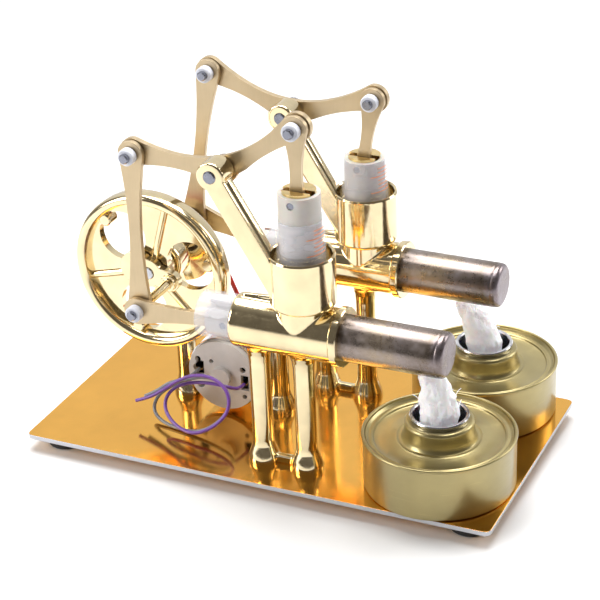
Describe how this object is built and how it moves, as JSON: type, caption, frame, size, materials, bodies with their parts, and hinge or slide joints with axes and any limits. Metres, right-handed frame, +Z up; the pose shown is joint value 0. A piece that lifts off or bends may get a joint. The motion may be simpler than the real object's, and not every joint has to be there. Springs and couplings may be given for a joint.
{
  "type": "stirling engine model",
  "caption": "Desktop hot-air engine with two walking-beam units, a common crank and flywheel, a belt-driven generator and spirit burners on a plate.",
  "frame": {"origin": "on the surface the feet stand on, under the middle of the whole model", "axes": "+X along the plate's front edge from the flywheel to the burners, +Y away from the front edge, +Z up"},
  "size_m": [0.152, 0.0912, 0.1187],
  "materials": {
    "mirror_gold": "mirror-polished gold-coloured plate",
    "rubber": "matt black",
    "steel": "turned, bright",
    "steel_web": "turned, warm",
    "gold_plate": "polished gold plating over the casting",
    "cap_plastic": "off-white moulded",
    "brass": "turned",
    "belt_red": "smooth red",
    "wire_purple": "purple insulation",
    "wire_grey": "grey insulation",
    "pulley": "turned",
    "glass": "clear with orange graduations",
    "tinted_steel": "heat tinted",
    "link_gold": "brushed champagne gold",
    "white_plastic": "frosted white",
    "burner_tin": "satin olive-gold lacquered tin",
    "cotton": "braided cotton"
  },
  "bodies": {
    "root": {"base_plate": "mirror_gold", "rubber_feet": "rubber", "leg_screws": "steel", "casting_front": "gold_plate", "power_glass_front": "glass", "guide_glass_front": "glass", "hot_cap_front": "tinted_steel", "beam_pivot_pin_front": "steel", "casting_rear": "gold_plate", "power_glass_rear": "glass", "guide_glass_rear": "glass", "hot_cap_rear": "tinted_steel", "beam_pivot_pin_rear": "steel", "bearing_stand": "gold_plate", "shaft_bearings": "steel", "motor_can": "steel", "motor_end_cap": "cap_plastic", "motor_terminals": "brass", "motor_bracket": "steel", "drive_belt": "belt_red", "wire_purple": "wire_purple", "wire_grey": "wire_grey"},
    "crank": {"crankshaft": "steel", "crank_webs": "steel_web", "flywheel": "gold_plate", "shaft_pulley": "pulley"},
    "generator_rotor": {"motor_rotor": "steel", "motor_pulley": "pulley"},
    "beam_front_group": {"beam_front": "link_gold", "beam_end_pins_front": "steel"},
    "long_link_front_group": {"long_link_front": "link_gold"},
    "power_link_front_group": {"power_link_front": "link_gold"},
    "power_piston_front_group": {"power_piston_front": "white_plastic", "piston_insert_front": "brass", "power_wrist_pin_front": "steel"},
    "displacer_front_group": {"guide_piston_front": "white_plastic", "guide_wrist_pin_front": "steel", "displacer_front": "steel"},
    "displacer_link_front_group": {"displacer_link_front": "link_gold", "crank_pin_end_front": "steel"},
    "burner_front_group": {"burner_can_front": "burner_tin", "burner_lid_front": "burner_tin", "wick_holder_front": "steel", "wick_front": "cotton"},
    "beam_rear_group": {"beam_rear": "link_gold", "beam_end_pins_rear": "steel"},
    "long_link_rear_group": {"long_link_rear": "link_gold"},
    "power_link_rear_group": {"power_link_rear": "link_gold"},
    "power_piston_rear_group": {"power_piston_rear": "white_plastic", "piston_insert_rear": "brass", "power_wrist_pin_rear": "steel"},
    "displacer_rear_group": {"guide_piston_rear": "white_plastic", "guide_wrist_pin_rear": "steel", "displacer_rear": "steel"},
    "displacer_link_rear_group": {"displacer_link_rear": "link_gold", "crank_pin_end_rear": "steel"},
    "burner_rear_group": {"burner_can_rear": "burner_tin", "burner_lid_rear": "burner_tin", "wick_holder_rear": "steel", "wick_rear": "cotton"}
  },
  "joints": [
    {"name": "crank_spin", "type": "hinge", "parent": "root", "child": "crank", "pos_m": [-0.046, -0.00405, 0.052], "axis": [0, -1, 0], "continuous": true},
    {"name": "generator_spin", "type": "hinge", "parent": "root", "child": "generator_rotor", "pos_m": [-0.024, -0.00405, 0.0188], "axis": [0, -1, 0], "continuous": true},
    {"name": "beam_tilt_front", "type": "hinge", "parent": "root", "child": "beam_front_group", "pos_m": [-0.0092, -0.03005, 0.0992], "axis": [0, -1, 0], "range_deg": [-17.5, 13.5]},
    {"name": "long_link_swing_front", "type": "hinge", "parent": "beam_front_group", "child": "long_link_front_group", "pos_m": [-0.03744, -0.03005, 0.09993], "axis": [0, -1, 0], "range_deg": [-13.6, 17.6]},
    {"name": "power_link_swing_front", "type": "hinge", "parent": "beam_front_group", "child": "power_link_front_group", "pos_m": [0.01457, -0.03005, 0.11446], "axis": [0, -1, 0], "range_deg": [-4.4, 5.7]},
    {"name": "power_piston_slide_front", "type": "slide", "parent": "root", "child": "power_piston_front_group", "axis": [0, 0, 1], "range_m": [-0.0073, 0.0056]},
    {"name": "displacer_slide_front", "type": "slide", "parent": "root", "child": "displacer_front_group", "axis": [1, 0, 0], "range_m": [-0.0149, 0.0002]},
    {"name": "displacer_link_swing_front", "type": "hinge", "parent": "displacer_front_group", "child": "displacer_link_front_group", "pos_m": [-0.00878, -0.03005, 0.052], "axis": [0, -1, 0], "range_deg": [-18.2, 11.2]},
    {"name": "burner_pull_front", "type": "slide", "parent": "root", "child": "burner_front_group", "axis": [1, 0, 0], "range_m": [0, 0.03]},
    {"name": "beam_tilt_rear", "type": "hinge", "parent": "root", "child": "beam_rear_group", "pos_m": [-0.0092, 0.01635, 0.0992], "axis": [0, -1, 0], "range_deg": [0, 31]},
    {"name": "long_link_swing_rear", "type": "hinge", "parent": "beam_rear_group", "child": "long_link_rear_group", "pos_m": [-0.0358, 0.01635, 0.10872], "axis": [0, -1, 0], "range_deg": [-31.1, 0.1]},
    {"name": "power_link_swing_rear", "type": "hinge", "parent": "beam_rear_group", "child": "power_link_rear_group", "pos_m": [0.01815, 0.01635, 0.10627], "axis": [0, -1, 0], "range_deg": [-12, 0.1]},
    {"name": "power_piston_slide_rear", "type": "slide", "parent": "root", "child": "power_piston_rear_group", "axis": [0, 0, 1], "range_m": [-0.0001, 0.0133]},
    {"name": "displacer_slide_rear", "type": "slide", "parent": "root", "child": "displacer_rear_group", "axis": [1, 0, 0], "range_m": [-0.0085, 0.0067]},
    {"name": "displacer_link_swing_rear", "type": "hinge", "parent": "displacer_rear_group", "child": "displacer_link_rear_group", "pos_m": [-0.01519, 0.01635, 0.052], "axis": [0, -1, 0], "range_deg": [-0.4, 29]},
    {"name": "burner_pull_rear", "type": "slide", "parent": "root", "child": "burner_rear_group", "axis": [1, 0, 0], "range_m": [0, 0.03]}
  ],
  "couplings": [
    {"joint": "generator_spin", "follows": "crank_spin", "ratio": 2.674},
    {"joint": "long_link_swing_front", "follows": "beam_tilt_front", "ratio": -1},
    {"joint": "power_link_swing_front", "follows": "beam_tilt_front", "ratio": -0.3166},
    {"joint": "power_piston_slide_front", "follows": "beam_tilt_front", "m_per_rad": 0.02369},
    {"joint": "long_link_swing_rear", "follows": "beam_tilt_rear", "ratio": -1},
    {"joint": "power_link_swing_rear", "follows": "beam_tilt_rear", "ratio": -0.3834},
    {"joint": "power_piston_slide_rear", "follows": "beam_tilt_rear", "m_per_rad": 0.02438}
  ]
}
